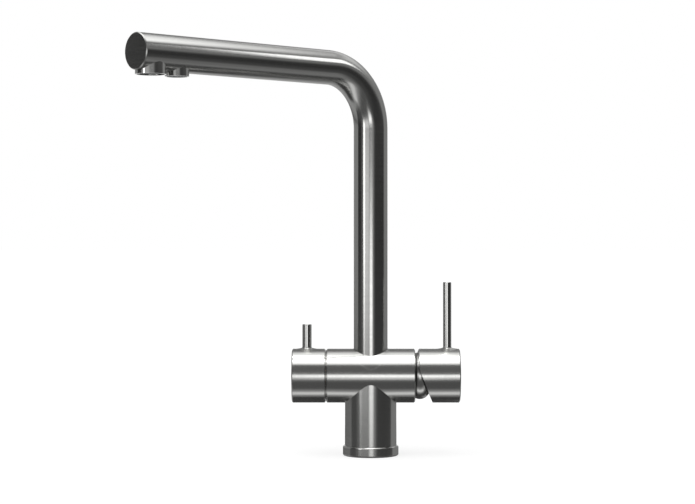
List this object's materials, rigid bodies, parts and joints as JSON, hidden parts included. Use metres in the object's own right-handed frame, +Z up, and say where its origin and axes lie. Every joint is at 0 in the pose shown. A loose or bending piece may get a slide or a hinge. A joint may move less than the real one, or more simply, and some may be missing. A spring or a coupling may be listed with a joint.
{
  "type": "three way kitchen tap",
  "caption": "Deck-mounted kitchen tap: crosswise bar with a tilting mixer handle and a quarter-turn filter handle, and a swivelling L-shaped spout with separate mixed and filtered outlets.",
  "frame": {"origin": "centre of the foot on the worktop, on the axis of the lower body and the spout's column", "axes": "+X along the bar towards the mixer handle, -Y towards the user, +Z up"},
  "size_m": [0.2754, 0.2067, 0.354],
  "materials": {
    "brushed_steel": "satin brushed stainless steel",
    "polished_steel": "finely polished stainless steel",
    "screw_steel": "plain stainless steel",
    "brass": "machined brass",
    "rubber": "matt EPDM rubber",
    "bush_plastic": "acetal",
    "cartridge_plastic": "moulded acetal",
    "tube_plastic": "food-grade polyethylene",
    "comb_plastic": "moulded acetal",
    "ceramic": "lapped alumina"
  },
  "bodies": {
    "tap_body": {"body": "brushed_steel", "base_ring": "brushed_steel", "base_gasket": "rubber", "upper_bush": "bush_plastic", "lower_bush": "bush_plastic", "spout_lock_screw": "screw_steel", "cartridge_base": "cartridge_plastic", "cartridge_seals": "rubber", "cartridge_housing": "cartridge_plastic", "fixed_disc": "ceramic", "cartridge_nut": "brass", "cover_ring": "polished_steel", "filter_valve_body": "brass", "valve_washer": "rubber", "valve_seat_seal": "rubber", "valve_fixed_disc": "ceramic"},
    "spout": {"spout_tube": "brushed_steel", "spout_adapter": "brass", "spout_seals": "rubber", "inner_tube": "tube_plastic", "filter_nipple": "brass", "nipple_seal": "rubber", "end_plate": "brushed_steel", "main_collar": "polished_steel", "aerator_case": "polished_steel", "aerator_comb": "comb_plastic", "aerator_washer": "rubber", "filter_collar": "polished_steel", "filter_elbow": "brass", "filter_comb": "comb_plastic"},
    "mixer_turret": {"turret": "cartridge_plastic", "pivot_pin": "screw_steel"},
    "mixer_disc": {"disc_carrier": "cartridge_plastic", "moving_disc": "ceramic"},
    "mixer_grip": {"stem": "screw_steel", "mixer_handle": "brushed_steel", "mixer_lever": "polished_steel", "mixer_grub_screw": "screw_steel"},
    "filter_grip": {"valve_spindle": "brass", "spindle_seal": "rubber", "spindle_clip": "brass", "valve_moving_disc": "ceramic", "filter_handle": "brushed_steel", "filter_lever": "polished_steel", "filter_grub_screw": "screw_steel"}
  },
  "joints": [
    {"name": "spout_swivel", "type": "hinge", "parent": "tap_body", "child": "spout", "pos_m": [0, 0, 0.069], "axis": [0, 0, 1], "continuous": true},
    {"name": "mixer_turn", "type": "hinge", "parent": "tap_body", "child": "mixer_turret", "pos_m": [0.0415, 0, 0.07], "axis": [1, 0, 0], "range_deg": [-45, 45]},
    {"name": "mixer_lift", "type": "hinge", "parent": "mixer_turret", "child": "mixer_grip", "pos_m": [0.0415, 0, 0.07], "axis": [0, 1, 0], "range_deg": [0, 25]},
    {"name": "disc_slide", "type": "slide", "parent": "mixer_turret", "child": "mixer_disc", "axis": [0, 0, 1], "range_m": [0, 0.00402]},
    {"name": "filter_turn", "type": "hinge", "parent": "tap_body", "child": "filter_grip", "pos_m": [-0.0562, 0, 0.07], "axis": [1, 0, 0], "range_deg": [0, 90]}
  ],
  "couplings": [
    {"joint": "disc_slide", "follows": "mixer_lift", "m_per_rad": 0.0092013}
  ]
}
